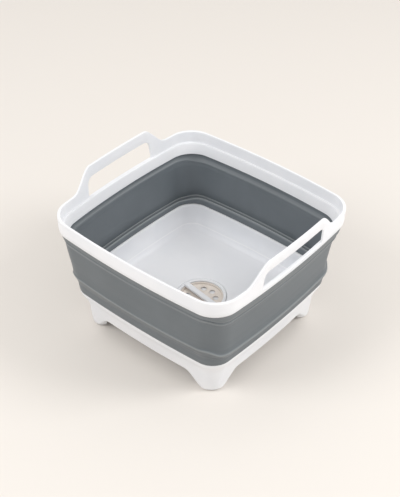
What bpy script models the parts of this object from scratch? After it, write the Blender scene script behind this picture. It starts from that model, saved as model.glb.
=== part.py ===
# Collapsible wash basin: a rigid rim with two loop handles, a soft wall in four bands that
# telescope when the basin is pressed flat, a footed base tray and a lift-out drain plug.
# Metres, +Z up. The origin is on the ground below the middle of the basin, handles on the X sides.

from math import atan2, cos, pi, radians, sin

import bmesh
import bpy
from mathutils import Matrix, Vector

# Plan of the rim, outside, with sides that bow outwards
RIM_LENGTH = 0.310
RIM_WIDTH = 0.303
RIM_CORNER_RADIUS = 0.0315
SIDE_BOW = 0.0078

# Clearances between pieces, and how far a cutter runs past what it cuts
FIT_GAP = 0.0003
SLIDE_GAP = 0.0004
CUT_OVERRUN = 0.004

# Rim frame
RIM_TOP = 0.1905
SKIRT_DROP = 0.0235
SKIRT_DRAFT = 0.001
SKIRT_WALL = 0.0024
FLANGE_WALL = 0.0031
EDGE_ROUND = 0.0008
LEDGE_DROP = 0.0177
LEDGE_WIDTH = 0.0026
LIP_HEIGHT = 0.0154
LIP_SLANT = 0.0045
LIP_WALL = 0.0015
GROOVE_ROOF = 0.0035

# Loop handles
HANDLE_RISE = 0.029
HANDLE_LEAN = 0.0042
HANDLE_FOOT_HALF = 0.093
HANDLE_TOP_HALF = 0.055
HANDLE_BAR = 0.0172
HANDLE_LEG = 0.029
HANDLE_SIDE = 0.012
HAND_HOLE_RADIUS = 0.012

# Soft wall
SOFT_WALL = 0.0017
BAND_DROP = 0.013
BAND_SLANT = 0.0018
FOLD_LAP = 0.0015
FOLD_OVERLAP = 0.003
FOLD_SLANT = 0.0004
CHINE_HEIGHT = 0.0065
CHINE_DEPTH = 0.0041
LOWER_BAND_RISE = 0.0085
LOWER_BAND_LAP = 0.013
LOWER_BAND_SLANT = 0.0008

# How the bow and the corners ease from the rim to the base
BOW_EASE = 0.0028
LOWER_CORNER_EASE = 0.0055
BASE_CORNER_EASE = 0.006

# Base tray
FLOOR_HEIGHT = 0.0375
FLOOR_THICKNESS = 0.0025
FLOOR_FILLET = 0.008
BASE_WALL = 0.0026
BASE_WALL_HEIGHT = 0.0385
WAIST_RISE = 0.0065
WAIST_STEP = 0.0082
EDGE_DROP = 0.0123
EDGE_STEP = 0.0025
FOOT_FLAT = 0.0165
FOOT_FLANK = 0.040
FOOT_ROUND = 0.004
FOOT_SOLE = 0.0085
FOOT_TAPER = 0.0015

# Drain seat in the floor
SEAT_RADIUS = 0.0366
SEAT_WALL = 0.0024
SEAT_LEDGE = 0.0096
SEAT_FLOOR = 0.002

# Drain plug
PLUG_GAP = 0.0007
PLUG_TURN_DEGREES = -8
GRIP_BAND = 0.0043
GRIP_HEIGHT = 0.0022
GRIP_ROUND = 0.0006
BAR_WIDTH = 0.0078
BAR_RISE = 0.0016
BAR_ROUND = 0.0016
CUP_FLANGE = 0.0013
CUP_WALL = 0.0014
CUP_DEPTH = 0.0029
CUP_HUB_RADIUS = 0.006
CUP_HUB_DROP = 0.0006
CUP_HOLE_RADIUS = 0.0042
CUP_HOLE_MARGIN = 0.0052
CUP_HOLE_COUNT = 9
STOPPER_MARGIN = 0.0036
STOPPER_THICKNESS = 0.0018
SEAL_LAP = 0.0015
SEAL_THICKNESS = 0.0016

# Steps round the shapes
CORNER_STEPS = 8
SIDE_STEPS = 10
HANDLE_FLANK_STEPS = 11
HANDLE_BAR_STEPS = 6
FOOT_FLANK_STEPS = 7
FOOT_MIDDLE_STEPS = 6
TURN_STEPS = 48
HOLE_STEPS = 12
ROUND_STEPS = 2

half_length = RIM_LENGTH / 2
half_width = RIM_WIDTH / 2

# Heights and insets of the rim frame
skirt_bottom = RIM_TOP - SKIRT_DROP
ledge_height = RIM_TOP - LEDGE_DROP
ledge_inset = FLANGE_WALL + LEDGE_WIDTH
lip_bottom = ledge_height - LIP_HEIGHT
lip_inset = ledge_inset + LIP_SLANT
groove_top = ledge_height - GROOVE_ROOF

# Heights of the base tray and of the soft wall between it and the rim
floor_bottom = FLOOR_HEIGHT - FLOOR_THICKNESS
waist_height = FLOOR_HEIGHT + WAIST_RISE
edge_height = FLOOR_HEIGHT - EDGE_DROP
base_top = FLOOR_HEIGHT + BASE_WALL_HEIGHT
shoulder_height = base_top - LOWER_BAND_LAP
lower_band_shoulder = base_top + LOWER_BAND_RISE
lower_band_top = lower_band_shoulder + CHINE_HEIGHT
band_bottom = skirt_bottom - BAND_DROP
upper_fold_top = band_bottom + FOLD_LAP
lower_fold_bottom = lower_band_top - FOLD_LAP
fold_height = (upper_fold_top - lower_fold_bottom + FOLD_OVERLAP) / 2
lower_fold_top = lower_fold_bottom + fold_height

# Insets of the soft wall and of the base tray, each inside the one above
fold_inset = lip_inset + SLIDE_GAP
fold_step = FOLD_SLANT + SOFT_WALL + SLIDE_GAP
lower_fold_inset = fold_inset + fold_step
lower_band_inset = lower_fold_inset + fold_step
lower_shoulder_inset = lower_band_inset + CHINE_DEPTH
lower_foot_inset = lower_shoulder_inset + LOWER_BAND_SLANT
shoulder_inset = lower_foot_inset + FIT_GAP
rebate_inset = lower_foot_inset + SOFT_WALL + FIT_GAP
waist_inset = shoulder_inset + WAIST_STEP
edge_inset = waist_inset + EDGE_STEP

lower_bow = SIDE_BOW - BOW_EASE
lower_corner_radius = RIM_CORNER_RADIUS - LOWER_CORNER_EASE
base_corner_radius = lower_corner_radius - BASE_CORNER_EASE

# Heights and radii of the plug, from the floor down to the ledge that it seats on
grip_radius = SEAT_RADIUS - PLUG_GAP
grip_inner = grip_radius - GRIP_BAND
grip_top = FLOOR_HEIGHT + FIT_GAP
grip_bottom = grip_top - GRIP_HEIGHT
flange_top = grip_bottom - FIT_GAP
flange_bottom = flange_top - CUP_FLANGE
cup_outer = grip_inner - FIT_GAP
cup_inner = cup_outer - CUP_WALL
cup_floor_top = flange_top - CUP_DEPTH
cup_floor_bottom = cup_floor_top - CUP_WALL
hub_bottom = cup_floor_bottom - CUP_HUB_DROP
hole_circle = cup_inner - CUP_HOLE_MARGIN - CUP_HOLE_RADIUS
stopper_radius = SEAT_RADIUS - STOPPER_MARGIN
stopper_top = hub_bottom - FIT_GAP
stopper_bottom = stopper_top - STOPPER_THICKNESS
seal_top = stopper_bottom - FIT_GAP
seal_bottom = seal_top - SEAL_THICKNESS
outlet_radius = SEAT_RADIUS - SEAT_LEDGE
seal_inner = outlet_radius - SEAL_LAP
seat_ledge = seal_bottom - FIT_GAP
seat_bottom = seat_ledge - SEAT_FLOOR

MERGE_DISTANCE = 0.00005
QUARTER_ARC_SHARE = 1 - cos(pi / 4)


def make_material(name, colour, roughness):
    material = bpy.data.materials.new(name)
    material.use_nodes = True
    shader = material.node_tree.nodes["Principled BSDF"]
    shader.inputs["Base Color"].default_value = (*colour, 1)
    shader.inputs["Roughness"].default_value = roughness
    shader.inputs["Metallic"].default_value = 0
    return material


def s_curve(share):
    share = min(max(share, 0), 1)
    return share * share * (3 - 2 * share)


def even_shares(steps):
    # Places of the inner points of a straight side, from -1 to 1
    return [2 * k / steps - 1 for k in range(1, steps)]


def flanked_shares(outer_share, inner_share, flank_steps, middle_steps):
    # Close together on the two flanks of a side, wide apart between them
    step_share = (outer_share - inner_share) / flank_steps
    flank_shares = [inner_share + step_share * k for k in range(flank_steps + 1)]
    middle_shares = [inner_share * share for share in even_shares(middle_steps)]
    return [-share for share in reversed(flank_shares)] + middle_shares + flank_shares


def plan_ring(inset, height, radius, bow, end_shares, side_shares):
    # A rounded rectangle whose sides bow outwards, drawn anticlockwise at one height
    a, b = half_length - inset, half_width - inset
    points = []
    for quarter in range(4):
        side_x = 1 if quarter in (0, 3) else -1
        side_y = 1 if quarter in (0, 1) else -1
        middle = Vector((side_x * (a - radius), side_y * (b - radius)))
        for k in range(CORNER_STEPS + 1):
            angle = (quarter + k / CORNER_STEPS) * pi / 2
            points.append(middle + radius * Vector((cos(angle), sin(angle))))
        if quarter in (0, 2):
            points += [Vector((-side_y * share * (a - radius), side_y * b)) for share in side_shares]
        else:
            points += [Vector((side_x * a, side_x * share * (b - radius))) for share in end_shares]
    return [
        Vector((
            p.x * (1 - bow / a * (p.y / b) ** 2),
            p.y * (1 - bow / b * (p.x / a) ** 2),
            height,
        ))
        for p in points
    ]


def circle_ring(radius, height, guide):
    # A circle whose points stand at the same angles as those of the guide ring
    angles = [atan2(p.y, p.x) for p in guide]
    return [Vector((radius * cos(angle), radius * sin(angle), height)) for angle in angles]


def mesh_object(name, work, material, collection, smooth_angle=35):
    mesh = bpy.data.meshes.new(name)
    work.to_mesh(mesh)
    work.free()
    mesh.materials.append(material)
    mesh.shade_smooth()
    mesh.set_sharp_from_angle(angle=radians(smooth_angle))
    piece = bpy.data.objects.new(name, mesh)
    collection.objects.link(piece)
    return piece


def cutter_object(name, work, collection):
    mesh = bpy.data.meshes.new(name)
    work.to_mesh(mesh)
    work.free()
    cutter = bpy.data.objects.new(name, mesh)
    collection.objects.link(cutter)
    cutter.hide_render = True
    cutter.display_type = "WIRE"
    return cutter


def add_boolean(piece, other, operation):
    modifier = piece.modifiers.new(other.name, "BOOLEAN")
    modifier.operation = operation
    modifier.solver = "EXACT"
    modifier.object = other


def lofted_rings(rings, closed):
    # A loft through unlike sections: each ring joins the next, and the last the first if closed
    work = bmesh.new()
    rows = [[work.verts.new(p) for p in ring] for ring in rings]
    pairs = list(zip(rows, rows[1:]))
    if closed:
        pairs.append((rows[-1], rows[0]))
    for first, second in pairs:
        for k in range(len(first)):
            work.faces.new((first[k - 1], first[k], second[k], second[k - 1]))
    bmesh.ops.recalc_face_normals(work, faces=work.faces)
    return work


def add_shell(name, rings, outwards, material, collection):
    # An open wall given its thickness by Solidify, to its outer or its inner side
    piece = mesh_object(name, lofted_rings(rings, False), material, collection)
    solidify = piece.modifiers.new("wall", "SOLIDIFY")
    solidify.thickness = SOFT_WALL
    solidify.offset = 1 if outwards else -1
    solidify.use_even_offset = True
    return piece


def add_turned(name, profile, closed, material, collection):
    # A profile at +X, drawn down its outer side and turned about Z
    work = bmesh.new()
    points = [work.verts.new((radius, 0, height)) for radius, height in profile]
    for start, end in zip(points, points[1:]):
        work.edges.new((start, end))
    if closed:
        work.edges.new((points[-1], points[0]))
    piece = mesh_object(name, work, material, collection)
    screw = piece.modifiers.new("turn", "SCREW")
    screw.axis = "Z"
    screw.angle = 2 * pi
    screw.steps = TURN_STEPS
    screw.render_steps = TURN_STEPS
    screw.use_merge_vertices = True
    screw.merge_threshold = MERGE_DISTANCE
    return piece


def handle_lift(y):
    flank_share = (HANDLE_FOOT_HALF - abs(y)) / (HANDLE_FOOT_HALF - HANDLE_TOP_HALF)
    return HANDLE_RISE * s_curve(flank_share)


def hand_hole(name, start, collection):
    # A trapezium with two rounded upper corners in Y and Z, pushed out along X
    low = ledge_height + FIT_GAP
    high = RIM_TOP + HANDLE_RISE - HANDLE_BAR
    foot_half = HANDLE_FOOT_HALF - HANDLE_LEG
    top_half = (HANDLE_FOOT_HALF + HANDLE_TOP_HALF) / 2 - HANDLE_SIDE
    corner = []
    for k in range(CORNER_STEPS + 1):
        angle = pi / 2 * k / CORNER_STEPS
        y = top_half - HAND_HOLE_RADIUS * (1 - cos(angle))
        z = high - HAND_HOLE_RADIUS * (1 - sin(angle))
        corner.append((y, z))
    outline = [(-foot_half, low), (foot_half, low)] + corner + [(-y, z) for y, z in reversed(corner)]
    work = bmesh.new()
    face = work.faces.new([work.verts.new((start, y, z)) for y, z in outline])
    grown = bmesh.ops.extrude_face_region(work, geom=[face])
    moved = [v for v in grown["geom"] if isinstance(v, bmesh.types.BMVert)]
    depth = FLANGE_WALL + HANDLE_LEAN + 2 * CUT_OVERRUN
    bmesh.ops.translate(work, verts=moved, vec=(depth, 0, 0))
    bmesh.ops.recalc_face_normals(work, faces=work.faces)
    return cutter_object(name, work, collection)


def build_rim_frame(material, parts, cutters):
    # One moulding: outer skirt, upright flange that rises into the handles, inner ledge and lip
    reach = half_width - RIM_CORNER_RADIUS
    end_shares = flanked_shares(
        HANDLE_FOOT_HALF / reach, HANDLE_TOP_HALF / reach, HANDLE_FLANK_STEPS, HANDLE_BAR_STEPS
    )
    side_shares = even_shares(SIDE_STEPS)
    section = [
        (SKIRT_DRAFT, skirt_bottom),
        (0, ledge_height),
        (0, RIM_TOP - EDGE_ROUND),
        (EDGE_ROUND, RIM_TOP),
        (FLANGE_WALL - EDGE_ROUND, RIM_TOP),
        (FLANGE_WALL, RIM_TOP - EDGE_ROUND),
        (FLANGE_WALL, ledge_height),
        (ledge_inset - EDGE_ROUND, ledge_height),
        (ledge_inset, ledge_height - EDGE_ROUND),
        (lip_inset, lip_bottom),
        (lip_inset - LIP_WALL, lip_bottom),
        (lip_outer_inset(groove_top), groove_top),
        (SKIRT_WALL, groove_top),
        (SKIRT_DRAFT + SKIRT_WALL, skirt_bottom),
    ]
    rings = [
        plan_ring(inset, height, RIM_CORNER_RADIUS, SIDE_BOW, end_shares, side_shares)
        for inset, height in section
    ]
    for ring in rings[2:6]:
        for point in ring:
            lift = handle_lift(point.y)
            lean = HANDLE_LEAN * lift / HANDLE_RISE
            point.x += lean if point.x > 0 else -lean
            point.z += lift
    rim = mesh_object("rim_frame", lofted_rings(rings, True), material, parts)
    inner_face = half_length - FLANGE_WALL - CUT_OVERRUN
    outer_face = half_length + HANDLE_LEAN + CUT_OVERRUN
    add_boolean(rim, hand_hole("hand_hole_right", inner_face, cutters), "DIFFERENCE")
    add_boolean(rim, hand_hole("hand_hole_left", -outer_face, cutters), "DIFFERENCE")


def lip_outer_inset(height):
    # The outer side of the lip runs parallel to its slanted inner side
    share = (ledge_height - height) / LIP_HEIGHT
    return ledge_inset - LIP_WALL + LIP_SLANT * share


def wall_rings(section):
    side_shares = even_shares(SIDE_STEPS)
    return [
        plan_ring(inset, height, radius, bow, side_shares, side_shares)
        for inset, height, radius, bow in section
    ]


def build_upper_band(material, parts):
    # Hangs in the groove between the rim's skirt and its lip, and curves in below them
    band_top = groove_top - FIT_GAP
    lip_fit = lip_outer_inset(lip_bottom) - FIT_GAP
    section = [
        (lip_outer_inset(band_top) - FIT_GAP, band_top, RIM_CORNER_RADIUS, SIDE_BOW),
        (lip_fit, lip_bottom, RIM_CORNER_RADIUS, SIDE_BOW),
        (lip_fit + BAND_SLANT, band_bottom, RIM_CORNER_RADIUS, SIDE_BOW),
    ]
    add_shell("skirt_upper_band", wall_rings(section), True, material, parts)


def build_fold(name, inset, top, material, parts):
    # One of the two tapered rings of the folding panel
    section = [
        (inset, top, RIM_CORNER_RADIUS, SIDE_BOW),
        (inset + FOLD_SLANT, top - fold_height, RIM_CORNER_RADIUS, SIDE_BOW),
    ]
    add_shell(name, wall_rings(section), False, material, parts)


def build_lower_band(material, parts):
    # A chine that steps in below the folds, then a band that laps over the top of the base tray
    section = [
        (lower_band_inset, lower_band_top, RIM_CORNER_RADIUS, SIDE_BOW),
        (lower_shoulder_inset, lower_band_shoulder, lower_corner_radius, lower_bow),
        (lower_foot_inset, shoulder_height + FIT_GAP, lower_corner_radius, lower_bow),
    ]
    add_shell("skirt_lower_band", wall_rings(section), False, material, parts)


def foot_level(point, half_x, half_y):
    # Ground level near a corner, rising in an S to the edge between the feet
    from_corner = max(half_x - abs(point.x), half_y - abs(point.y))
    return edge_height * s_curve((from_corner - FOOT_FLAT) / FOOT_FLANK)


def build_base_tray(material, parts):
    # One moulding: wall, floor with its fillet, four feet and the seat of the drain
    half_x, half_y = half_length - edge_inset, half_width - edge_inset
    reach = half_y - base_corner_radius
    flank = FOOT_FLAT + FOOT_FLANK - base_corner_radius
    end_shares = flanked_shares(1, 1 - flank / reach, FOOT_FLANK_STEPS, FOOT_MIDDLE_STEPS)[1:-1]

    def ring(inset, height, radius=base_corner_radius):
        return plan_ring(inset, height, radius, lower_bow, end_shares, end_shares)

    edge = ring(edge_inset, edge_height)
    levels = [foot_level(p, half_x, half_y) for p in edge]

    def edge_ring(plain_offset, plain_rise, foot_offset, foot_rise):
        # A ring of the wall's lower edge, plain between the feet and curled into a sole at each foot
        plain = ring(edge_inset + plain_offset, plain_rise)
        curled = ring(edge_inset + foot_offset, foot_rise)
        points = [p.lerp(q, 1 - level / edge_height) for p, q, level in zip(plain, curled, levels)]
        return [p + Vector((0, 0, level)) for p, level in zip(points, levels)]

    arc_share = QUARTER_ARC_SHARE
    inner_round = FOOT_ROUND - BASE_WALL
    heel = FOOT_TAPER + FOOT_ROUND
    toe = heel + FOOT_SOLE
    inner_heel = FOOT_TAPER + BASE_WALL
    edge_rings = [
        edge_ring(0, EDGE_ROUND, FOOT_TAPER, FOOT_ROUND),
        edge_ring(
            EDGE_ROUND * arc_share,
            EDGE_ROUND * arc_share,
            FOOT_TAPER + FOOT_ROUND * arc_share,
            FOOT_ROUND * arc_share,
        ),
        edge_ring(EDGE_ROUND, 0, heel, 0),
        edge_ring(BASE_WALL, 0, toe, 0),
        edge_ring(BASE_WALL, EDGE_ROUND, toe, BASE_WALL),
        edge_ring(BASE_WALL, 2 * EDGE_ROUND, heel, BASE_WALL),
        edge_ring(
            BASE_WALL,
            3 * EDGE_ROUND,
            inner_heel + inner_round * arc_share,
            BASE_WALL + inner_round * arc_share,
        ),
        edge_ring(BASE_WALL, 4 * EDGE_ROUND, inner_heel, FOOT_ROUND),
    ]
    roof = [Vector((p.x, p.y, floor_bottom)) for p in edge_rings[-1]]

    wall_inner = waist_inset + BASE_WALL
    curve_inset = (shoulder_inset + waist_inset) / 2
    curve_height = (shoulder_height + waist_height) / 2 - BASE_WALL
    mid_radius = (lower_corner_radius + base_corner_radius) / 2
    seat_outer = SEAT_RADIUS + SEAT_WALL
    rings = [
        ring(rebate_inset, base_top, lower_corner_radius),
        ring(rebate_inset, shoulder_height, lower_corner_radius),
        ring(shoulder_inset, shoulder_height, lower_corner_radius),
        ring(curve_inset, curve_height, mid_radius),
        ring(waist_inset, waist_height),
        ring((waist_inset + edge_inset) / 2, floor_bottom),
        *edge_rings,
        roof,
        circle_ring(seat_outer, floor_bottom, edge),
        circle_ring(seat_outer, seat_bottom, edge),
        circle_ring(outlet_radius, seat_bottom, edge),
        circle_ring(outlet_radius, seat_ledge, edge),
        circle_ring(SEAT_RADIUS, seat_ledge, edge),
        circle_ring(SEAT_RADIUS, FLOOR_HEIGHT, edge),
        ring(wall_inner + FLOOR_FILLET, FLOOR_HEIGHT),
        ring(wall_inner + FLOOR_FILLET * arc_share, FLOOR_HEIGHT + FLOOR_FILLET * arc_share),
        ring(wall_inner, FLOOR_HEIGHT + FLOOR_FILLET),
        ring(curve_inset + BASE_WALL, curve_height + BASE_WALL / 2, mid_radius),
        ring(rebate_inset + BASE_WALL, base_top, lower_corner_radius),
    ]
    mesh_object("base_tray", lofted_rings(rings, True), material, parts)


def build_plug_grip(material, parts, cutters):
    # A ring flush with the floor, with a bar across it to lift the plug by
    profile = [
        (grip_inner + GRIP_ROUND, grip_top),
        (grip_radius - GRIP_ROUND, grip_top),
        (grip_radius, grip_top - GRIP_ROUND),
        (grip_radius, grip_bottom),
        (grip_inner, grip_bottom),
        (grip_inner, grip_top - GRIP_ROUND),
    ]
    grip = add_turned("plug_grip", profile, True, material, parts)
    bar_top = grip_top + BAR_RISE
    bar_bottom = grip_bottom + FIT_GAP
    bar_size = (2 * grip_inner + GRIP_BAND, BAR_WIDTH, bar_top - bar_bottom)
    work = bmesh.new()
    bmesh.ops.create_cube(work, size=1)
    bmesh.ops.scale(work, verts=work.verts, vec=bar_size)
    bmesh.ops.rotate(work, verts=work.verts, matrix=Matrix.Rotation(radians(PLUG_TURN_DEGREES), 3, "Z"))
    bmesh.ops.translate(work, verts=work.verts, vec=(0, 0, (bar_top + bar_bottom) / 2))
    top_edges = [e for e in work.edges if all(v.co.z > grip_top for v in e.verts)]
    bmesh.ops.bevel(
        work,
        geom=top_edges,
        offset=BAR_ROUND,
        segments=ROUND_STEPS,
        profile=0.5,
        affect="EDGES",
    )
    add_boolean(grip, cutter_object("grip_bar", work, cutters), "UNION")


def build_strainer_cup(material, parts, cutters):
    # A shallow cup under the grip ring, with holes round the hub that carries the stopper
    profile = [
        (0, cup_floor_top),
        (cup_inner, cup_floor_top),
        (cup_inner, flange_top),
        (grip_radius, flange_top),
        (grip_radius, flange_bottom),
        (cup_outer, flange_bottom),
        (cup_outer, cup_floor_bottom),
        (CUP_HUB_RADIUS, cup_floor_bottom),
        (CUP_HUB_RADIUS, hub_bottom),
        (0, hub_bottom),
    ]
    cup = add_turned("strainer_cup", profile, False, material, parts)
    work = bmesh.new()
    for k in range(CUP_HOLE_COUNT):
        angle = 2 * pi * k / CUP_HOLE_COUNT
        hole = bmesh.ops.create_cone(
            work,
            cap_ends=True,
            segments=HOLE_STEPS,
            radius1=CUP_HOLE_RADIUS,
            radius2=CUP_HOLE_RADIUS,
            depth=CUP_WALL + 2 * CUT_OVERRUN,
        )
        middle = (cup_floor_top + cup_floor_bottom) / 2
        place = (hole_circle * cos(angle), hole_circle * sin(angle), middle)
        bmesh.ops.translate(work, verts=hole["verts"], vec=place)
    add_boolean(cup, cutter_object("cup_holes", work, cutters), "DIFFERENCE")


def build_stopper_plate(material, parts):
    # The disc that closes the outlet, below the hub of the cup
    work = bmesh.new()
    bmesh.ops.create_cone(
        work,
        cap_ends=True,
        segments=TURN_STEPS,
        radius1=stopper_radius,
        radius2=stopper_radius,
        depth=STOPPER_THICKNESS,
    )
    middle = (stopper_top + stopper_bottom) / 2
    bmesh.ops.translate(work, verts=work.verts, vec=(0, 0, middle))
    mesh_object("stopper_plate", work, material, parts)


def build_seal_ring(material, parts):
    # A soft washer between the stopper and the ledge of the drain seat
    profile = [
        (stopper_radius, seal_top),
        (stopper_radius, seal_bottom),
        (seal_inner, seal_bottom),
        (seal_inner, seal_top),
    ]
    add_turned("seal_ring", profile, True, material, parts)


def main():
    for old in list(bpy.data.objects):
        bpy.data.objects.remove(old, do_unlink=True)
    parts = bpy.data.collections.new("wash_basin")
    cutters = bpy.data.collections.new("cutters")
    bpy.context.scene.collection.children.link(parts)
    bpy.context.scene.collection.children.link(cutters)

    white = make_material("white_plastic", (0.83, 0.84, 0.86), 0.38)
    grey = make_material("grey_soft_wall", (0.10, 0.115, 0.12), 0.55)
    frosted = make_material("frosted_plastic", (0.62, 0.57, 0.52), 0.45)
    seal = make_material("pale_seal", (0.70, 0.70, 0.68), 0.5)

    build_rim_frame(white, parts, cutters)
    build_upper_band(grey, parts)
    build_fold("skirt_upper_fold", fold_inset, upper_fold_top, grey, parts)
    build_fold("skirt_lower_fold", lower_fold_inset, lower_fold_top, grey, parts)
    build_lower_band(grey, parts)
    build_base_tray(white, parts)
    build_plug_grip(white, parts, cutters)
    build_strainer_cup(frosted, parts, cutters)
    build_stopper_plate(white, parts)
    build_seal_ring(seal, parts)


main()
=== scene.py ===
import bmesh
import bpy
from collections import namedtuple
from math import atan2, cos, pi, radians, sin, tan
from mathutils import Matrix, Vector


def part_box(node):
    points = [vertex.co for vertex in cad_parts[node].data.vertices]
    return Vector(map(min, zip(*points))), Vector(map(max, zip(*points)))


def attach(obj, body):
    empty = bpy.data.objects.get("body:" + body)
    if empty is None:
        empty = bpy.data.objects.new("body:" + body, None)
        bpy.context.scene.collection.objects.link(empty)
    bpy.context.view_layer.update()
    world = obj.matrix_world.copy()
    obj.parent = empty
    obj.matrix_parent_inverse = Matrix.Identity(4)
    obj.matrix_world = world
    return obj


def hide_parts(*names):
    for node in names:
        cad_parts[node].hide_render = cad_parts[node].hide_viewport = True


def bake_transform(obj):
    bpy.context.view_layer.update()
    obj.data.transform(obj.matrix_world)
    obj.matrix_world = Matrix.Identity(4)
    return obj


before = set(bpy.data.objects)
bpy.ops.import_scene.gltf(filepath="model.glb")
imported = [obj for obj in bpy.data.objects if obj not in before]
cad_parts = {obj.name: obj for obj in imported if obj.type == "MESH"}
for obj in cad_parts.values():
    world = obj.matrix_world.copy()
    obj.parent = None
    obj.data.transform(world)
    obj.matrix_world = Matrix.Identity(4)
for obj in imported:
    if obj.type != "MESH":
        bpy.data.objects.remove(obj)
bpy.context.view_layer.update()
print("frame loaded")

mm = 0.001

# The plan that the rim, the soft wall and the tray share, its width taken from the frame
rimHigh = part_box("rim_frame")[1]
plan = {
    "halfLength": 155.0 * mm,
    "halfWidth": rimHigh.y,
    "rimCorner": 31.5 * mm,
    "rimBow": 7.8 * mm,
    "baseBow": 5.0 * mm,
    "cornerSteps": 14,
    "sideSteps": 40,
}
meshing = {
    "weld": 0.002 * mm,
    "tinyEdge": 0.001 * mm,
    "roundSteps": 4,
    "roundReach": 0.48,  # the share of a side that the round at one end of it may take
    "sharpAngle": 40,
    "bevelSegments": 3,
    "turnSteps": 128,
    "turnRoundSteps": 3,
}

# A station is one ring of a swept section. What follow, spread and rise do is said where each piece
# places its rings. circle turns the ring into a circle of that radius, and the last field is the
# share of painted highlight: a lighter colour standing in for the light that a ridge catches.
Station = namedtuple(
    "Station",
    "inset height corner bow round follow spread rise circle shine",
    defaults=(plan["rimCorner"], plan["rimBow"], 0.0, 0.0, 0.0, 0.0, 0.0, 0.0),
)


def mixStations(a, b, share):
    return Station(*[p + (q - p) * share for p, q in zip(a, b)])


def evenShares(steps):
    return [2 * k / steps - 1 for k in range(1, steps)]


def ease(value, start, end):
    # 0 up to start, 1 from end on, and an S between them
    share = min(max((value - start) / (end - start), 0), 1)
    return share * share * (3 - 2 * share)


def planSpots(endShares, sideShares):
    # Each spot holds what multiplies the straight half sides and what multiplies the corner radius
    spots = []
    for quarter in range(4):
        signX = 1 if quarter in (0, 3) else -1
        signY = 1 if quarter in (0, 1) else -1
        for k in range(plan["cornerSteps"] + 1):
            turn = (quarter + k / plan["cornerSteps"]) * pi / 2
            spots.append((signX, signY, cos(turn), sin(turn)))
        if quarter in (0, 2):
            spots += [(-signY * share, signY, 0, signY) for share in sideShares]
        else:
            spots += [(signX, signX * share, signX, 0) for share in endShares]
    return spots


def planPoint(spot, ring, extraInset=0.0):
    inset = ring.inset + extraInset
    a, b = plan["halfLength"] - inset, plan["halfWidth"] - inset
    x = spot[0] * (a - ring.corner) + spot[2] * ring.corner
    y = spot[1] * (b - ring.corner) + spot[3] * ring.corner
    bowedX = x * (1 - ring.bow / a * (y / b) ** 2)
    bowedY = y * (1 - ring.bow / b * (x / a) ** 2)
    if ring.circle:
        turn = atan2(bowedY, bowedX)
        return Vector((ring.circle * cos(turn), ring.circle * sin(turn), ring.height))
    return Vector((bowedX, bowedY, ring.height))


def roundedStations(corners, closed, steps=meshing["roundSteps"]):
    # Each corner with a round becomes a short curve between its two sides
    out = []
    count = len(corners)
    for k, corner in enumerate(corners):
        if not corner.round or (not closed and k in (0, count - 1)):
            out.append(corner)
            continue
        before, after = corners[k - 1], corners[(k + 1) % count]
        here = Vector((corner.inset, corner.height))
        toBefore = Vector((before.inset, before.height)) - here
        toAfter = Vector((after.inset, after.height)) - here
        shorter = min(toBefore.length, toAfter.length)
        reach = corner.round / tan(toBefore.angle(toAfter) / 2)
        reach = min(reach, meshing["roundReach"] * shorter)
        start = here + toBefore.normalized() * reach
        end = here + toAfter.normalized() * reach
        for j in range(steps + 1):
            share = j / steps
            spot = start * (1 - share) ** 2 + here * 2 * share * (1 - share) + end * share**2
            out.append(corner._replace(inset=spot.x, height=spot.y, round=0.0))
    return out


def denseStations(rings, step, closed):
    # More rings on long stretches, so that the wall can bend and shade well
    out = []
    for a, b in zip(rings, rings[1:] + (rings[:1] if closed else [])):
        length = Vector((b.inset - a.inset, b.height - a.height)).length
        pieces = max(1, int(length / step))
        out += [mixStations(a, b, k / pieces) for k in range(pieces)]
    return out if closed else out + rings[-1:]


def only(geometry, kind):
    return [g for g in geometry if isinstance(g, kind)]


def sweep(spots, rings, place):
    # A ring of edges, extruded from station to station and welded to itself at the end
    bm = bmesh.new()
    index = bm.verts.layers.int.new("spot")
    shine = bm.verts.layers.float.new("shine")
    verts = bmesh.ops.create_circle(bm, segments=len(spots), radius=1)["verts"]
    for k, v in enumerate(verts):
        v[index] = k
    edges = bm.edges[:]

    def settle(verts, ring):
        for v in verts:
            v.co = place(spots, v[index], ring)
            v[shine] = ring.shine

    settle(verts, rings[0])
    for ring in rings[1:] + rings[:1]:
        made = bmesh.ops.extrude_edge_only(bm, edges=edges)["geom"]
        edges = only(made, bmesh.types.BMEdge)
        settle(only(made, bmesh.types.BMVert), ring)
    bmesh.ops.remove_doubles(bm, verts=bm.verts, dist=meshing["weld"])
    bmesh.ops.recalc_face_normals(bm, faces=bm.faces)
    return bm


def turned(profile):
    # A profile of rounded corners, given as radius, height and round, spun about Z
    corners = [Station(radius, height, round=bend) for radius, height, bend in profile]
    rings = roundedStations(corners, closed=True, steps=meshing["turnRoundSteps"])
    bm = bmesh.new()
    verts = [bm.verts.new((max(ring.inset, 0.0), 0, ring.height)) for ring in rings]
    edges = [bm.edges.new((verts[k - 1], verts[k])) for k in range(len(verts))]
    bmesh.ops.spin(
        bm,
        geom=verts + edges,
        axis=(0, 0, 1),
        cent=(0, 0, 0),
        angle=2 * pi,
        steps=meshing["turnSteps"],
        use_merge=True,
    )
    bmesh.ops.remove_doubles(bm, verts=bm.verts, dist=meshing["weld"])
    bmesh.ops.dissolve_degenerate(bm, edges=bm.edges, dist=meshing["tinyEdge"])
    bmesh.ops.recalc_face_normals(bm, faces=bm.faces)
    return bm


def shadeMesh(mesh, sharpAngle):
    mesh.shade_smooth()
    mesh.set_sharp_from_angle(angle=radians(sharpAngle))


def meshPiece(name, bm, sharpAngle=meshing["sharpAngle"]):
    mesh = bpy.data.meshes.new(name)
    bm.to_mesh(mesh)
    bm.free()
    piece = bpy.data.objects.new(name, mesh)
    bpy.context.scene.collection.objects.link(piece)
    shadeMesh(mesh, sharpAngle)
    return piece


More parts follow.
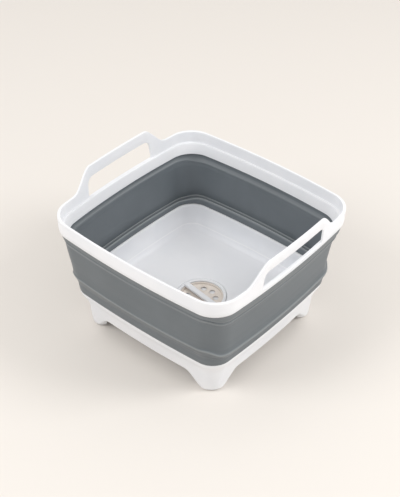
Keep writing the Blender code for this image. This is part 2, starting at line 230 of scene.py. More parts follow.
def applyModifiers(piece, sharpAngle=meshing["sharpAngle"]):
    bpy.context.view_layer.update()
    seen = piece.evaluated_get(bpy.context.evaluated_depsgraph_get())
    mesh = bpy.data.meshes.new_from_object(seen)
    mesh.name = piece.name
    piece.modifiers.clear()
    piece.data = mesh
    shadeMesh(mesh, sharpAngle)


def combine(piece, other, operation):
    modifier = piece.modifiers.new(operation.lower(), "BOOLEAN")
    modifier.operation = operation
    modifier.solver = "EXACT"
    modifier.object = other
    applyModifiers(piece)
    bpy.data.objects.remove(other, do_unlink=True)


def addBevel(piece, width, angle, segments=meshing["bevelSegments"]):
    modifier = piece.modifiers.new("round", "BEVEL")
    modifier.width = width
    modifier.segments = segments
    modifier.limit_method = "ANGLE"
    modifier.angle_limit = radians(angle)
    modifier.use_clamp_overlap = False
    modifier.miter_outer = "MITER_ARC"


# Shader maths: a wire is an output socket that can be used in sums
class Wire:
    def __init__(self, finish, socket):
        self.finish = finish
        self.socket = socket

    def maths(self, operation, first, second):
        return self.finish.node("Math", {"operation": operation}, {0: first, 1: second})

    def __add__(self, other):
        return self.maths("ADD", self, other)

    def __radd__(self, other):
        return self.maths("ADD", other, self)

    def __sub__(self, other):
        return self.maths("SUBTRACT", self, other)

    def __rsub__(self, other):
        return self.maths("SUBTRACT", other, self)

    def __mul__(self, other):
        return self.maths("MULTIPLY", self, other)

    def __rmul__(self, other):
        return self.maths("MULTIPLY", other, self)


class Finish:
    def __init__(self, name):
        self.material = bpy.data.materials.new(name)
        self.material.use_nodes = True
        self.tree = self.material.node_tree
        self.shader = self.tree.nodes["Principled BSDF"]
        self.place = self.node("TexCoord", output="Object")

    def feed(self, socket, value):
        if isinstance(value, Wire):
            self.tree.links.new(value.socket, socket)
        else:
            socket.default_value = value

    def node(self, kind, settings=None, inputs=None, output=0):
        made = self.tree.nodes.new("ShaderNode" + kind)
        for key, value in (settings or {}).items():
            setattr(made, key, value)
        for key, value in (inputs or {}).items():
            self.feed(made.inputs[key], value)
        return Wire(self, made.outputs[output])

    def noise(self, sockets):
        return self.node("TexNoise", {}, {"Vector": self.place, **sockets})

    def mask(self, value, low, high):
        inputs = {"Value": value, "From Min": low, "From Max": high}
        return self.node("MapRange", {"interpolation_type": "SMOOTHSTEP"}, inputs)

    def mixColour(self, share, first, second):
        # The Mix node's colours are its sockets 6 and 7, and its output 2
        inputs = {0: share, 6: first, 7: second}
        return self.node("Mix", {"data_type": "RGBA"}, inputs, output=2)

    def bump(self, height, strength, distance):
        inputs = {"Height": height, "Strength": strength, "Distance": distance}
        return self.node("Bump", {}, inputs)

    def shade(self, values):
        for key, value in values.items():
            self.feed(self.shader.inputs[key], value)
        return self.material


def fromScreen(red, green, blue):
    # A colour as a screen shows it, 0 to 255, made linear
    parts = [v / 255 for v in (red, green, blue)]
    linear = [p / 12.92 if p < 0.04045 else ((p + 0.055) / 1.055) ** 2.4 for p in parts]
    return (*linear, 1.0)


def makeFinish(look):
    # tint, roughening and height say how much of each pattern goes into the colour, the roughness
    # and the bump. The ridges and creases whose stations say so get a painted highlight, a lighter
    # colour standing in for the light they catch.
    finish = Finish(look["name"])
    patterns = {name: finish.noise(sockets) for name, sockets in look["noises"].items()}
    patterns["clouds"] = finish.mask(patterns["clouds"], *look["cloudEdges"])

    def weigh(shares, start=0.0):
        return sum((patterns[name] * share for name, share in shares.items()), start)

    colour = finish.mixColour(weigh(look["tint"]), look["colour"], look["cloudColour"])
    roughness = weigh(look["roughening"], look["roughness"])
    # Painted highlight: the colour turns lighter on the marked ridges and creases, standing in for
    # light
    if "paintedHighlightColour" in look:
        paintedHighlightShare = finish.node("Attribute", {"attribute_name": "shine"}, output=2)
        colour = finish.mixColour(paintedHighlightShare, colour, look["paintedHighlightColour"])
        roughness = roughness - paintedHighlightShare * look["ridgeGloss"]
    return finish.shade({
        "Base Color": colour,
        "Roughness": roughness,
        "Normal": finish.bump(weigh(look["height"]), look["bump"], look["bumpDepth"]),
        **look["constants"],
    })


whiteLook = {
    "name": "satinWhitePlastic",
    "colour": fromScreen(234, 235, 238),
    "cloudColour": fromScreen(228, 230, 234),
    # painted highlight: a lighter colour for the ridges and creases, standing in for the light they
    # catch
    "paintedHighlightColour": fromScreen(246, 246, 247),
    "ridgeGloss": 0.0,
    "noises": {
        "clouds": {"Scale": 14, "Detail": 3},
        "grain": {"Scale": 1500, "Detail": 2, "Roughness": 0.6},
        "ripple": {"Scale": 55, "Detail": 2},
    },
    "cloudEdges": (0.38, 0.66),
    "tint": {"clouds": 0.7, "grain": 0.25},
    "roughness": 0.36,
    "roughening": {"clouds": 0.06, "grain": 0.08},
    "height": {"grain": 0.35, "ripple": 0.65},
    "bump": 0.12,
    "bumpDepth": 0.25 * mm,
    "constants": {
        "Specular IOR Level": 0.5,
        "Subsurface Weight": 0.35,
        "Subsurface Radius": (1.0, 1.0, 1.0),
        "Subsurface Scale": 5 * mm,
    },
}
greyLook = {
    "name": "satinGreyRubber",
    "colour": fromScreen(93, 100, 105),
    "cloudColour": fromScreen(104, 111, 116),
    # painted highlight: a lighter colour for the ridges and bands, standing in for the light they
    # catch
    "paintedHighlightColour": fromScreen(140, 145, 147),
    "ridgeGloss": 0.12,
    "noises": {
        "clouds": {"Scale": 18, "Detail": 4},
        "grain": {"Scale": 1900, "Detail": 2, "Roughness": 0.65},
        "ripple": {"Scale": 40, "Detail": 2},
    },
    "cloudEdges": (0.36, 0.7),
    "tint": {"clouds": 0.5, "grain": 0.4},
    "roughness": 0.4,
    "roughening": {"clouds": 0.05, "grain": 0.12},
    "height": {"grain": 0.5, "ripple": 0.5},
    "bump": 0.2,
    "bumpDepth": 0.3 * mm,
    "constants": {"Specular IOR Level": 0.5, "Sheen Weight": 0.06},
}
frostLook = {
    "name": "warmFrostedPlastic",
    "colour": fromScreen(229, 221, 213),
    "cloudColour": fromScreen(213, 203, 193),
    "noises": {
        "clouds": {"Scale": 60, "Detail": 3},
        "grain": {"Scale": 2200, "Detail": 2, "Roughness": 0.6},
    },
    "cloudEdges": (0.35, 0.7),
    "tint": {"clouds": 0.6, "grain": 0.3},
    "roughness": 0.42,
    "roughening": {"grain": 0.12},
    "height": {"grain": 1.0},
    "bump": 0.15,
    "bumpDepth": 0.2 * mm,
    "constants": {},
}
sealLook = {
    "name": "paleSiliconeSeal",
    "colour": fromScreen(224, 223, 218),
    "cloudColour": fromScreen(205, 204, 199),
    "noises": {
        "clouds": {"Scale": 80, "Detail": 3},
        "grain": {"Scale": 2500, "Detail": 2, "Roughness": 0.6},
    },
    "cloudEdges": (0.35, 0.7),
    "tint": {"clouds": 1.0},
    "roughness": 0.5,
    "roughening": {"grain": 0.1},
    "height": {"grain": 1.0},
    "bump": 0.2,
    "bumpDepth": 0.2 * mm,
    "constants": {},
}


def setLook(piece, material):
    piece.data.materials.clear()
    piece.data.materials.append(material)


whitePlastic = makeFinish(whiteLook)
softGrey = makeFinish(greyLook)
frostedPlastic = makeFinish(frostLook)
sealRubber = makeFinish(sealLook)
print("finishes made")

# Rim frame: skirt, flange that rises into the two handles, ledge and lip
rim = {
    "top": 190.5 * mm,
    "topRound": 1.2 * mm,
    "wall": 3.1 * mm,
    "skirtBottom": 167.0 * mm,
    "skirtInset": 1.0 * mm,
    "skirtWall": 2.4 * mm,
    "skirtRound": 0.7 * mm,
    "waistInset": 0.3 * mm,
    "waistRound": 4.0 * mm,
    "ledge": 172.8 * mm,
    "ledgeInset": 5.7 * mm,
    "ledgeInnerRound": 0.9 * mm,
    "ledgeOuterRound": 1.1 * mm,
    "lipBottom": 157.4 * mm,
    "lipInset": 10.2 * mm,
    "lipWall": 1.5 * mm,
    "lipInnerRound": 0.6 * mm,
    "lipOuterRound": 0.4 * mm,
    "grooveTop": 169.3 * mm,
    "sharpAngle": 50,
}
handle = {
    "rise": rimHigh.z - rim["top"],
    "lean": rimHigh.x - plan["halfLength"],
    "footHalf": 93.0 * mm,
    "topHalf": 55.0 * mm,
    "flankSteps": 22,
    "barSteps": 18,
    "outerSteps": 4,
}
hole = {
    "top": 202.3 * mm,
    "bottom": 173.3 * mm,
    "near": 148.2 * mm,
    "far": 164.0 * mm,
    "topHalf": 62.0 * mm,
    "footHalf": 64.0 * mm,
    "topRound": 12.0 * mm,
    "footRound": 2.5 * mm,
    "roundSteps": 8,
    "edgeRound": 0.7 * mm,
    "edgeAngle": 48,
}


def placeOnRim(spots, k, ring):
    # follow is the share of the handle's rise and lean that the ring takes on the two ends
    spot = planPoint(spots[k], ring)
    if abs(spots[k][0]) < 1:
        return spot
    lift = ring.follow * ease(abs(spot.y), handle["footHalf"], handle["topHalf"])
    side = 1 if spot.x > 0 else -1
    return spot + Vector((side * handle["lean"] * lift, 0, handle["rise"] * lift))


def rimSpots():
    reach = plan["halfWidth"] - plan["rimCorner"]
    footShare, topShare = handle["footHalf"] / reach, handle["topHalf"] / reach
    flankGap = (footShare - topShare) / handle["flankSteps"]
    outerGap = (1 - footShare) / handle["outerSteps"]
    flankShares = [topShare + flankGap * k for k in range(handle["flankSteps"] + 1)]
    outerShares = [footShare + outerGap * k for k in range(1, handle["outerSteps"])]
    shares = flankShares + outerShares
    barShares = [topShare * share for share in evenShares(handle["barSteps"])]
    endShares = [-share for share in reversed(shares)] + barShares + shares
    return planSpots(endShares, evenShares(plan["sideSteps"]))


def holeCutter(side):
    # A rounded trapezium pushed through the flange along X
    corners = [
        Station(-hole["footHalf"], hole["bottom"], round=hole["footRound"]),
        Station(hole["footHalf"], hole["bottom"], round=hole["footRound"]),
        Station(hole["topHalf"], hole["top"], round=hole["topRound"]),
        Station(-hole["topHalf"], hole["top"], round=hole["topRound"]),
    ]
    outline = roundedStations(corners, closed=True, steps=hole["roundSteps"])
    bm = bmesh.new()
    near = side * hole["near"]
    face = bm.faces.new([bm.verts.new((near, spot.inset, spot.height)) for spot in outline])
    made = bmesh.ops.extrude_face_region(bm, geom=[face])["geom"]
    depth = side * (hole["far"] - hole["near"])
    bmesh.ops.translate(bm, verts=only(made, bmesh.types.BMVert), vec=(depth, 0, 0))
    bmesh.ops.recalc_face_normals(bm, faces=bm.faces)
    return meshPiece("holeCutter", bm)


def rimRings():
    skirtRound, topRound = rim["skirtRound"], rim["topRound"]
    ledgeOuter = rim["ledgeInset"] - rim["lipWall"]
    grooveShare = (rim["ledge"] - rim["grooveTop"]) / (rim["ledge"] - rim["lipBottom"])
    grooveInset = ledgeOuter + (rim["lipInset"] - rim["ledgeInset"]) * grooveShare
    lipOuter = rim["lipInset"] - rim["lipWall"]
    corners = [
        Station(rim["skirtInset"], rim["skirtBottom"], round=skirtRound),
        Station(rim["waistInset"], rim["ledge"], round=rim["waistRound"]),
        Station(0.0, rim["top"], round=topRound, follow=1.0),
        Station(rim["wall"], rim["top"], round=topRound, follow=1.0),
        Station(rim["wall"], rim["ledge"], round=rim["ledgeInnerRound"]),
        Station(rim["ledgeInset"], rim["ledge"], round=rim["ledgeOuterRound"]),
        Station(rim["lipInset"], rim["lipBottom"], round=rim["lipInnerRound"]),
        Station(lipOuter, rim["lipBottom"], round=rim["lipOuterRound"]),
        Station(grooveInset, rim["grooveTop"]),
        Station(rim["skirtWall"], rim["grooveTop"]),
        Station(rim["skirtInset"] + rim["skirtWall"], rim["skirtBottom"], round=skirtRound),
    ]
    return roundedStations(corners, closed=True)


def makeRim():
    piece = meshPiece("rimShell", sweep(rimSpots(), rimRings(), placeOnRim))
    for side in (1, -1):
        combine(piece, holeCutter(side), "DIFFERENCE")
    addBevel(piece, hole["edgeRound"], hole["edgeAngle"])
    applyModifiers(piece, rim["sharpAngle"])
    setLook(piece, whitePlastic)
    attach(piece, "rim")
    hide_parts("rim_frame")


makeRim()
print("rim made")

# Soft wall: one moulding from the groove in the rim to the rebate of the tray. Each row gives, in
# mm, inset, height, round and how much higher the row lies on the long sides and on the two ends,
# and then its share of painted highlight, a lighter colour for the light its ridge or band catches.
skirt = {
    "outer": [
        (3.3, 169.0, 0.3, 0, 0, 0),
        (3.3, 166.8, 0.2, 0, 0, 0),
        (1.7, 166.7, 0.4, 0, 0, 0),
        (2.2, 164.0, 2.0, 0, 0, 0.1),
        (3.7, 157.5, 3.0, 1, -2, 0.1),
        (6.2, 152.8, 0.6, 3, -3.6, 0),
        (5.4, 151.4, 0.5, 3, -3.6, 0.35),
        (5.7, 150.0, 0.8, 3, -3.6, 0.35),
        (7.0, 147.2, 1.5, 2.5, -3.2, 0),
        (8.3, 139.0, 8.0, 0, -2, 0),
        (10.0, 124.0, 12.0, 0, 0, 0),
        (12.0, 106.0, 10.0, 3, 0, 0),
        (12.8, 94.5, 6.0, 6, -0.5, 0),
        (12.7, 88.8, 2.0, 8, -1, 0),
        (11.7, 86.6, 0.4, 8, -1, 0.65),
        (11.7, 85.4, 0.4, 8, -1, 0.65),
        (12.5, 83.4, 0.5, 7.5, -1, 0),
        (13.9, 81.3, 1.5, 6, -0.8, 0),
        (16.2, 78.7, 2.0, 4, -0.5, 0),
        (18.2, 75.5, 2.0, 2.5, 0, 0),
        (19.8, 69.0, 5.0, 0, 0, 0),
        (20.4, 63.3, 0.4, 0, 0, 0),
    ],
    "inner": [
        (22.2, 63.3, 0.4, 0, 0, 0),
        (22.2, 76.2, 1.0, 0, 0, 0),
        (21.8, 80.0, 1.0, 4, 2, 0),
        (21.3, 82.6, 0.5, 6, 3, 1),
        (20.5, 82.6, 0.4, 6, 3, 1),
        (19.8, 80.6, 0.7, 6, 3, 0),
        (17.8, 80.8, 0.7, 6, 3, 0),
        (17.3, 84.0, 0.4, 6, 3, 1),
        (16.3, 84.0, 0.4, 6, 3, 1),
        (15.7, 82.4, 0.3, 6, 3, 0),
        (15.1, 83.0, 0.4, 6, 3, 0),
        (14.7, 87.0, 1.0, 6, 3, 0),
        (14.8, 100.0, 4.0, 2, 1, 0),
        (14.6, 106.0, 10.0, 0, 0, 0),
        (12.5, 140.5, 6.0, -2, 0, 0),
        (11.5, 146.6, 1.0, -3.5, 0, 0),
        (11.6, 148.8, 0.4, -3.5, 0, 0.25),
        (11.2, 149.7, 0.4, -3.5, 0, 0.25),
        (9.0, 151.8, 1.0, -1, 0, 0),
        (8.2, 153.6, 0.8, 0, 0, 0),
        (7.8, 156.8, 0.4, 0, 0, 0),
        (7.2, 157.4, 0.3, 0, 0, 0),
        (5.0, 168.9, 0.3, 0, 0, 0),
    ],
    "lowCorner": 26.0 * mm,
    "cornerEase": (72.0 * mm, 84.0 * mm),
    "endToSide": (-0.12, 0.12),
    "lean": (-1.8 * mm, -1.5 * mm, 0.0),
    "leanStart": (76.0 * mm, 96.0 * mm),
    "leanEnd": (167.0 * mm, 137.0 * mm),
    "foldStart": 80.0 * mm,
    "foldEnd": 157.5 * mm,
    "rowHeight": 2.2 * mm,
    "sharpAngle": 50,
}


def skirtRow(inset, height, bend, sideLift, endLift, shine, leans):
    # The corner radius and the bow ease from the rim down to the tray
    share = ease(height * mm, *skirt["cornerEase"])
    return Station(
        inset * mm,
        height * mm,
        skirt["lowCorner"] + (plan["rimCorner"] - skirt["lowCorner"]) * share,
        plan["baseBow"] + (plan["rimBow"] - plan["baseBow"]) * share,
        bend * mm,
        follow=sideLift * mm,
        spread=leans,
        rise=endLift * mm,
        shine=shine,
    )


def placeOnSkirt(spots, k, ring):
    # follow lifts the long sides and rise the ends, and they meet at the corners. spread is the
    # ring's share of the lean.
    spot = planPoint(spots[k], ring)
    endReach = abs(spot.x) / (plan["halfLength"] - ring.inset)
    sideReach = abs(spot.y) / (plan["halfWidth"] - ring.inset)
    sideShare = ease(sideReach - endReach, *skirt["endToSide"])
    leanShare = ease(ring.height, *skirt["leanStart"]) * ease(ring.height, *skirt["leanEnd"])
    spot.z += ring.rise + (ring.follow - ring.rise) * sideShare
    return spot + Vector(skirt["lean"]) * leanShare * ring.spread


def makeSkirt():
    outer = [skirtRow(*row, leans=1.0) for row in skirt["outer"]]
    inner = [skirtRow(*row, leans=0.0) for row in skirt["inner"]]
    corners = roundedStations(outer + inner, closed=True)
    rings = denseStations(corners, skirt["rowHeight"], closed=True)
    spots = planSpots(evenShares(plan["sideSteps"]), evenShares(plan["sideSteps"]))
    piece = meshPiece("softSkirt", sweep(spots, rings, placeOnSkirt), skirt["sharpAngle"])
    setLook(piece, softGrey)
    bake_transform(piece)
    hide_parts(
        "skirt_upper_band", "skirt_upper_fold", "skirt_lower_fold", "skirt_lower_band"
    )


makeSkirt()
print("soft wall made")

# Base tray: wall, floor, four feet and the drain seat. Each row gives, in mm, inset, height, corner
# radius and round, and then its share of painted highlight, a lighter colour for the light on a
# crease.
tray = {
    "outside": [
        (22.5, 76.0, 26.0, 0.5, 0),
        (22.5, 63.0, 26.0, 0, 0),
        (20.8, 63.0, 26.0, 0.6, 0),
        (21.8, 57.0, 24.5, 12.0, 0),
        (27.6, 46.0, 21.0, 18.0, 0),
        (30.8, 35.0, 20.0, 0, 0),
    ],
    "inside": [
        (39.8, 37.5, 20.0, 0, 0),
        (37.0, 38.0, 20.0, 0, 0),
        (34.4, 39.8, 20.0, 0, 0),
        (32.4, 42.4, 20.0, 0, 0),
        (31.7, 44.5, 20.0, 0, 0),
        # These two rows carry a painted highlight along the crease where the wall meets the floor
        (31.1, 45.1, 20.0, 0, 0.6),
        (30.9, 45.8, 20.0, 0, 0.6),
        (30.8, 46.6, 20.0, 0, 0),
        (28.6, 51.0, 21.5, 0, 0),
        (26.6, 58.5, 23.5, 0, 0),
        (25.7, 67.0, 25.0, 0, 0),
        (25.1, 76.0, 26.0, 0.9, 0),
    ],
    "rowHeight": 4.0 * mm,
    "corner": 20.0 * mm,
    "edge": 25.2 * mm,
    "edgeInset": 31.4 * mm,
    "edgeRound": 0.9 * mm,
    "wall": 2.6 * mm,
    "footRound": 5.5 * mm,
    "sole": 4.5 * mm,
    "soleTaper": 1.5 * mm,
    "footFlat": 20.0 * mm,
    "footFlank": 33.0 * mm,
    "outerTurns": (0, 22.5, 45, 67.5, 90),
    "innerTurns": (90, 45, 0),
    "flankSteps": 10,
    "midSteps": 20,
    "floor": 37.5 * mm,
    "roof": 35.0 * mm,
    "seat": 36.6 * mm,
    "seatRound": 0.6 * mm,
    "seatBorder": 3.0 * mm,
    "seatOuter": 39.0 * mm,
    "seatLedge": 26.1 * mm,
    "seatBottom": 24.1 * mm,
    "outlet": 27.0 * mm,
    "sharpAngle": 42,
}


def traySpots():
    reach = plan["halfWidth"] - tray["edgeInset"] - tray["corner"]
    midShare = 1 - (tray["footFlat"] + tray["footFlank"] - tray["corner"]) / reach
    flankGap = (1 - midShare) / tray["flankSteps"]
    flankShares = [midShare + flankGap * k for k in range(tray["flankSteps"])]
    midShares = [midShare * share for share in evenShares(tray["midSteps"])]
    shares = [-share for share in reversed(flankShares)] + midShares + flankShares
    return planSpots(shares, shares)


def footShares(spots):
    # 0 between the feet, rising in an S to 1 at the sole of each foot
    halfX = plan["halfLength"] - tray["edgeInset"]
    halfY = plan["halfWidth"] - tray["edgeInset"]
    edge = Station(tray["edgeInset"], 0.0, tray["corner"], plan["baseBow"])
    shares = []
    for spot in spots:
        p = planPoint(spot, edge)
        away = max(halfX - abs(p.x), halfY - abs(p.y))
        shares.append(1 - ease(away, tray["footFlat"], tray["footFlat"] + tray["footFlank"]))
    return shares


def rowStations(rows):
    return [
        Station(inset * mm, height * mm, corner * mm, plan["baseBow"], bend * mm, shine=shine)
        for inset, height, corner, bend, shine in rows
    ]


def edgeStation(plainIn, plainUp, footIn, footUp):
    # How far in from the wall's foot the ring lies, and how far above the edge between the feet or
    # above the ground at a foot
    return Station(
        tray["edgeInset"] + plainIn,
        tray["edge"] + plainUp,
        tray["corner"],
        plan["baseBow"],
        spread=footIn - plainIn,
        rise=footUp - plainUp - tray["edge"],
    )


def edgeStations():
    # The lower edge of the wall: plain between the feet, curled into a sole at each foot
    small, big, wall = tray["edgeRound"], tray["footRound"], tray["wall"]
    innerRound = big - wall
    heel = tray["soleTaper"] + big
    toe = heel + tray["sole"]
    out = []
    for turn in tray["outerTurns"]:
        inward, down = 1 - cos(radians(turn)), 1 - sin(radians(turn))
        footIn = tray["soleTaper"] + big * inward
        out.append(edgeStation(small * inward, small * down, footIn, big * down))
    out.append(edgeStation(wall - small / 3, 0, toe - small, 0))
    out.append(edgeStation(wall, small / 3, toe, small))
    out.append(edgeStation(wall, small * 2 / 3, toe, wall - small))
    out.append(edgeStation(wall, small, toe - small, wall))
    for turn in tray["innerTurns"]:
        inward, down = 1 - cos(radians(turn)), 1 - sin(radians(turn))
        footIn = tray["soleTaper"] + wall + innerRound * inward
        out.append(edgeStation(wall, small * (2 - turn / 90), footIn, wall + innerRound * down))
    return out


def seatStations():
    # From the underside of the floor down round the outlet and up the plug's seat
    seat, floor, bend = tray["seat"], tray["floor"], tray["seatRound"]
    circles = [
        (tray["seatOuter"], tray["roof"]),
        (tray["seatOuter"], tray["seatBottom"]),
        (tray["outlet"], tray["seatBottom"]),
        (tray["outlet"], tray["seatLedge"]),
        (seat, tray["seatLedge"]),
        (seat, floor - bend),
        (seat + bend / 3, floor - bend / 3),
        (seat + bend, floor),
        (seat + tray["seatBorder"], floor),
    ]
    corner, bow = tray["corner"], plan["baseBow"]
    return [Station(0.0, height, corner, bow, circle=radius) for radius, height in circles]


def trayRings():
    outside, inside = rowStations(tray["outside"]), rowStations(tray["inside"])
    wallRings = denseStations(roundedStations(outside, closed=False), tray["rowHeight"], False)
    roofRing = Station(
        tray["edgeInset"] + tray["wall"],
        tray["roof"],
        tray["corner"],
        plan["baseBow"],
        spread=tray["soleTaper"],
    )
    # The first outside row only stands at the end here to round the wall's top edge
    floorRings = roundedStations(inside + outside[:1], closed=False)[:-1]
    floorRings = denseStations(floorRings, tray["rowHeight"], False)
    return wallRings + edgeStations() + [roofRing] + seatStations() + floorRings


def makeTray():
    spots = traySpots()
    shares = footShares(spots)

    def placeOnTray(spots, k, ring):
        # At a foot the ring lies spread further in and rise higher, which is lower where it is
        # less than 0
        spot = planPoint(spots[k], ring, ring.spread * shares[k])
        spot.z += ring.rise * shares[k]
        return spot

    piece = meshPiece("trayShell", sweep(spots, trayRings(), placeOnTray), tray["sharpAngle"])
    setLook(piece, whitePlastic)
    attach(piece, "base")
    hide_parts("base_tray")


makeTray()
print("tray made")

# Plug grip: a ring with a bar across it
grip = {
    "outer": 35.9 * mm,
    "inner": 31.6 * mm,
    "top": 37.8 * mm,
    "topRound": 0.7 * mm,
    "bottom": 35.6 * mm,
    "bottomRound": 0.3 * mm,
    "barTop": 39.4 * mm,
    "barBottom": 35.9 * mm,
    "barWidth": 7.8 * mm,
    "barOverlap": 1.5 * mm,
    "barSideRound": 1.6 * mm,
    "barTopRound": 1.1 * mm,
    "barSegments": 4,
    "turn": radians(-8),
}


def gripBar():
    length = 2 * (grip["inner"] + grip["barOverlap"])
    height = grip["barTop"] - grip["barBottom"]
    middle = (grip["barTop"] + grip["barBottom"]) / 2
    bm = bmesh.new()
    bmesh.ops.create_cube(bm, size=1)
    bmesh.ops.scale(bm, verts=bm.verts, vec=(length, grip["barWidth"], height))
    bmesh.ops.translate(bm, verts=bm.verts, vec=(0, 0, middle))
    # First the upright edges, which have one end above the middle, and then those of the top
    for endsAbove, offset in ((1, grip["barSideRound"]), (2, grip["barTopRound"])):
        edges = [e for e in bm.edges if sum(v.co.z > middle for v in e.verts) == endsAbove]
        bmesh.ops.bevel(
            bm,
            geom=edges,
            offset=offset,
            segments=grip["barSegments"],
            profile=0.5,
            affect="EDGES",
            material=-1,
        )
    bmesh.ops.rotate(bm, verts=bm.verts, matrix=Matrix.Rotation(grip["turn"], 3, "Z"))
    return meshPiece("gripBar", bm)


def makeGrip():
    profile = [
        (grip["inner"], grip["top"], grip["topRound"]),
        (grip["outer"], grip["top"], grip["topRound"]),
        (grip["outer"], grip["bottom"], grip["bottomRound"]),
        (grip["inner"], grip["bottom"], grip["bottomRound"]),
    ]
    piece = meshPiece("plugHandle", turned(profile))
    combine(piece, gripBar(), "UNION")
    setLook(piece, whitePlastic)
    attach(piece, "plug")
    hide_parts("plug_grip")


# Strainer cup: it hangs in the grip ring by its flange and has a ring of holes in its floor
cup = {
    "top": 35.3 * mm,
    "gap": 0.3 * mm,
    "wall": 1.4 * mm,
    "flange": 1.3 * mm,
    "floor": 32.4 * mm,
    "hub": 6.0 * mm,
    "hubBottom": 30.4 * mm,
    "edgeRound": 0.3 * mm,
    "flangeRound": 0.2 * mm,
    "insideRound": 0.5 * mm,
    "outsideRound": 0.8 * mm,
    "holeCount": 9,
    "holeRadius": 4.2 * mm,
    "holeCircle": 20.5 * mm,
    "holeDepth": 6.0 * mm,
    "holeSteps": 32,
    "holeRound": 0.25 * mm,
    "holeRoundSteps": 2,
    "holeRoundAngle": 60,
}


def strainerHoles():
    bm = bmesh.new()
    for k in range(cup["holeCount"]):
        turn = 2 * pi * k / cup["holeCount"]
        made = bmesh.ops.create_cone(
            bm,
            cap_ends=True,
            segments=cup["holeSteps"],
            radius1=cup["holeRadius"],
            radius2=cup["holeRadius"],
            depth=cup["holeDepth"],
        )
        spot = (cup["holeCircle"] * cos(turn), cup["holeCircle"] * sin(turn), cup["floor"])
        bmesh.ops.translate(bm, verts=made["verts"], vec=spot)
    return meshPiece("holes", bm)


def makeCup():
    outer = grip["inner"] - cup["gap"]
    inner = outer - cup["wall"]
    flangeBottom = cup["top"] - cup["flange"]
    floorBottom = cup["floor"] - cup["wall"]
    profile = [
        (0, cup["floor"], 0),
        (inner, cup["floor"], cup["insideRound"]),
        (inner, cup["top"], cup["edgeRound"]),
        (grip["outer"], cup["top"], cup["edgeRound"]),
        (grip["outer"], flangeBottom, cup["edgeRound"]),
        (outer, flangeBottom, cup["flangeRound"]),
        (outer, floorBottom, cup["outsideRound"]),
        (cup["hub"], floorBottom, cup["edgeRound"]),
        (cup["hub"], cup["hubBottom"], cup["edgeRound"]),
        (0, cup["hubBottom"], 0),
    ]
    piece = meshPiece("strainerCup", turned(profile))
    combine(piece, strainerHoles(), "DIFFERENCE")
    addBevel(piece, cup["holeRound"], cup["holeRoundAngle"], cup["holeRoundSteps"])
    applyModifiers(piece)
    setLook(piece, frostedPlastic)
    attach(piece, "plug")
    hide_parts("strainer_cup")


# Stopper: a disc below the cup, as large as the frame's
stopper = {"border": 4.0 * mm, "edgeRound": 0.5 * mm}


def makeStopper():
    low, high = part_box("stopper_plate")
    profile = [
        (0, high.z, 0),
        (high.x - stopper["border"], high.z, 0),
        (high.x, high.z, stopper["edgeRound"]),
        (high.x, low.z, stopper["edgeRound"]),
        (0, low.z, 0),
    ]
    piece = meshPiece("stopperDisc", turned(profile))
    setLook(piece, whitePlastic)
    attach(piece, "plug")
    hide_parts("stopper_plate")


# Seal: the soft washer of the stopper, as large as the frame's
seal = {"width": 7.5 * mm, "topRound": 0.4 * mm, "bottomRound": 0.6 * mm}


def makeSeal():
    low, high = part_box("seal_ring")
    inner = high.x - seal["width"]
    profile = [
        (inner, high.z, seal["topRound"]),
        (high.x, high.z, seal["topRound"]),
        (high.x, low.z, seal["bottomRound"]),
        (inner, low.z, seal["bottomRound"]),
    ]
    piece = meshPiece("sealWasher", turned(profile))
    setLook(piece, sealRubber)
    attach(piece, "plug")
    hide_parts("seal_ring")


makeGrip()
makeCup()
makeStopper()
makeSeal()
print("plug made")

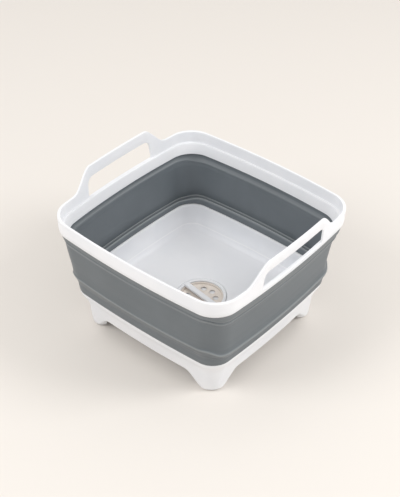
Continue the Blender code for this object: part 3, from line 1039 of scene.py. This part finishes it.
# Floor, camera and studio light, in metres, degrees and watts, and the lens and sensor in mm
stage = {
    "floorColour": fromScreen(226, 221, 215),
    "floorRoughness": 0.85,
    "floorHalf": 12.0,
    "floorHeight": -0.2 * mm,
    "worldColour": fromScreen(250, 248, 246),
    "worldStrength": 0.81,
}
shot = {
    "azimuth": 39.913,
    "elevation": 38.729,
    "roll": 0.605,
    "distance": 1.66756,
    "target": (-14.02 * mm, 12.75 * mm, 107.30 * mm),
    "lens": 86.25,
    "sensor": 36.0,
}
lamps = [
    {"name": "overheadLamp", "from": (-0.3, 0.0, 2.2), "size": 1.2, "energy": 4.0},
    {"name": "keyLamp", "from": (1.7, 0.9, 1.7), "size": 1.0, "energy": 23.5},
    {"name": "fillLamp", "from": (-0.8, -1.7, 1.8), "size": 1.2, "energy": 20.0},
    {"name": "sideLamp", "from": (1.8, 0.0, 0.35), "size": 0.8, "energy": 2.5},
]


def makeFloor():
    bm = bmesh.new()
    bmesh.ops.create_grid(bm, x_segments=1, y_segments=1, size=stage["floorHalf"])
    bmesh.ops.translate(bm, verts=bm.verts, vec=(0, 0, stage["floorHeight"]))
    floor = meshPiece("floor", bm)
    values = {"Base Color": stage["floorColour"], "Roughness": stage["floorRoughness"]}
    setLook(floor, Finish("paleFloor").shade(values))


def makeCamera():
    azimuth, elevation, roll = (radians(shot[key]) for key in ("azimuth", "elevation", "roll"))
    flat = cos(elevation)
    back = Vector((sin(azimuth) * flat, -cos(azimuth) * flat, sin(elevation)))
    right = Vector((0, 0, 1)).cross(back).normalized()
    up = back.cross(right)
    turnedRight = right * cos(roll) + up * sin(roll)
    turnedUp = up * cos(roll) - right * sin(roll)
    data = bpy.data.cameras.new("camera")
    data.lens = shot["lens"]
    data.sensor_width = shot["sensor"]
    camera = bpy.data.objects.new("camera", data)
    spot = Vector(shot["target"]) + back * shot["distance"]
    turn = Matrix((turnedRight, turnedUp, back)).transposed()
    camera.matrix_world = Matrix.Translation(spot) @ turn.to_4x4()
    bpy.context.scene.collection.objects.link(camera)
    bpy.context.scene.camera = camera


def makeLamps():
    # Each lamp looks at the middle of the ground
    for lamp in lamps:
        data = bpy.data.lights.new(lamp["name"], "AREA")
        data.shape = "DISK"
        data.size = lamp["size"]
        data.energy = lamp["energy"]
        light = bpy.data.objects.new(lamp["name"], data)
        spot = Vector(lamp["from"])
        turn = spot.to_track_quat("Z", "Y").to_matrix()
        light.matrix_world = Matrix.Translation(spot) @ turn.to_4x4()
        bpy.context.scene.collection.objects.link(light)


def makeWorld():
    world = bpy.data.worlds.new("studio")
    world.use_nodes = True
    background = world.node_tree.nodes["Background"]
    background.inputs["Color"].default_value = stage["worldColour"]
    background.inputs["Strength"].default_value = stage["worldStrength"]
    bpy.context.scene.world = world
    bpy.context.scene.view_settings.view_transform = "Standard"


makeFloor()
makeCamera()
makeLamps()
makeWorld()
print("stage made")
